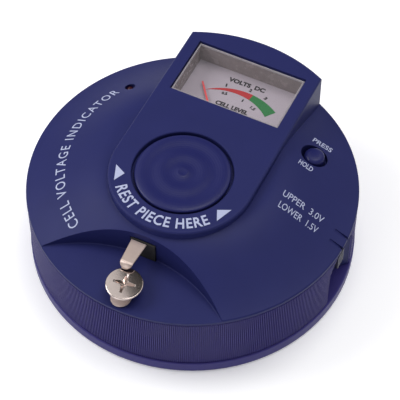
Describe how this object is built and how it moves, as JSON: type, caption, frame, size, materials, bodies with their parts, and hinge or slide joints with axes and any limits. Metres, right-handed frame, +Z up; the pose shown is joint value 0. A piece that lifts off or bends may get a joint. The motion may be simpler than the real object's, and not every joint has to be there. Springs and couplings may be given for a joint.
{
  "type": "battery tester",
  "caption": "Round bench tester for watches and button cells: domed navy case, raised tongue with moving-coil meter and watch pad, cell contacts, test button and slide switch.",
  "frame": {"origin": "centre of the round underside, on the surface that the tester stands on", "axes": "+Z up, +Y towards the meter, +X to the user's right (slide switch side)"},
  "size_m": [0.1106, 0.1106, 0.043],
  "materials": {
    "case_plastic": "fine satin moulded navy plastic",
    "pad_plastic": "smooth semi-gloss navy plastic",
    "knob_plastic": "dark satin plastic",
    "clear_cover": "clear moulded acrylic",
    "meter_housing": "light grey moulded plastic",
    "dial_face": "printed paper-white card",
    "pointer_red": "painted red",
    "copper_wire": "enamelled copper winding",
    "ferrite": "dark sintered iron",
    "brass_bits": "bright brass",
    "nickel": "nickel plate, softly polished",
    "screw_steel": "zinc plated steel",
    "board_green": "glass-epoxy board with green mask",
    "chip_black": "black moulding",
    "switch_metal": "tinned steel can",
    "resistor_body": "beige lacquer",
    "capacitor_sleeve": "blue shrink sleeve",
    "battery_jacket": "plain printed steel jacket",
    "lamp_lens": "dark red epoxy lens",
    "red_wire": "soft PVC",
    "black_wire": "soft PVC"
  },
  "bodies": {
    "root": {"base_case": "case_plastic", "battery": "battery_jacket", "black_lead": "black_wire", "board_screw_1": "screw_steel", "board_screw_2": "screw_steel", "board_screw_3": "screw_steel", "capacitor_1": "capacitor_sleeve", "capacitor_2": "capacitor_sleeve", "capacitor_3": "capacitor_sleeve", "case_screw_1": "screw_steel", "case_screw_2": "screw_steel", "case_screw_3": "screw_steel", "case_screw_4": "screw_steel", "chip_1": "chip_black", "chip_2": "chip_black", "circuit_board": "board_green", "contact_arm_foot": "nickel", "contact_lead": "red_wire", "contact_nut": "nickel", "contact_screw": "nickel", "contact_spacer": "nickel", "contact_strip": "nickel", "lamp": "lamp_lens", "lamp_spacer": "meter_housing", "meter_base": "meter_housing", "meter_bridge": "brass_bits", "meter_core": "ferrite", "meter_cover": "clear_cover", "meter_dial": "dial_face", "meter_lead_1": "black_wire", "meter_lead_2": "red_wire", "meter_terminal_1": "brass_bits", "meter_terminal_2": "brass_bits", "meter_yoke": "ferrite", "pickup_coil": "copper_wire", "pickup_core": "ferrite", "push_switch": "chip_black", "red_lead": "red_wire", "resistor_1": "resistor_body", "resistor_2": "resistor_body", "resistor_3": "resistor_body", "resistor_4": "resistor_body", "slide_switch": "switch_metal", "snap_connector": "chip_black", "top_case": "case_plastic", "trimmer": "capacitor_sleeve", "watch_pad": "pad_plastic"},
    "button": {"test_button": "pad_plastic", "switch_plunger": "chip_black"},
    "knob": {"switch_knob": "knob_plastic"},
    "pointer": {"meter_pointer": "pointer_red", "meter_coil": "copper_wire"},
    "arm": {"contact_arm": "nickel"},
    "door": {"battery_door": "case_plastic"}
  },
  "joints": [
    {"name": "button_press", "type": "slide", "parent": "root", "child": "button", "axis": [0, 0, -1], "range_m": [0, 0.0008], "stiffness_N_per_m": 800},
    {"name": "switch_slide", "type": "slide", "parent": "root", "child": "knob", "axis": [0, 1, 0], "range_m": [0, 0.0043]},
    {"name": "pointer_swing", "type": "hinge", "parent": "root", "child": "pointer", "pos_m": [0, 0.0172, 0.035], "axis": [0, 0, -1], "range_deg": [0, 73.8], "stiffness_Nm_per_rad": 0.00002},
    {"name": "arm_flex", "type": "hinge", "parent": "root", "child": "arm", "pos_m": [-0.0023, -0.0332, 0.0357], "axis": [-1, 0, 0], "range_deg": [0, 18], "stiffness_Nm_per_rad": 0.016},
    {"name": "door_hinge", "type": "hinge", "parent": "root", "child": "door", "pos_m": [-0.02785, -0.0135, 0.0002], "axis": [0, 1, 0], "range_deg": [0, 95]}
  ]
}
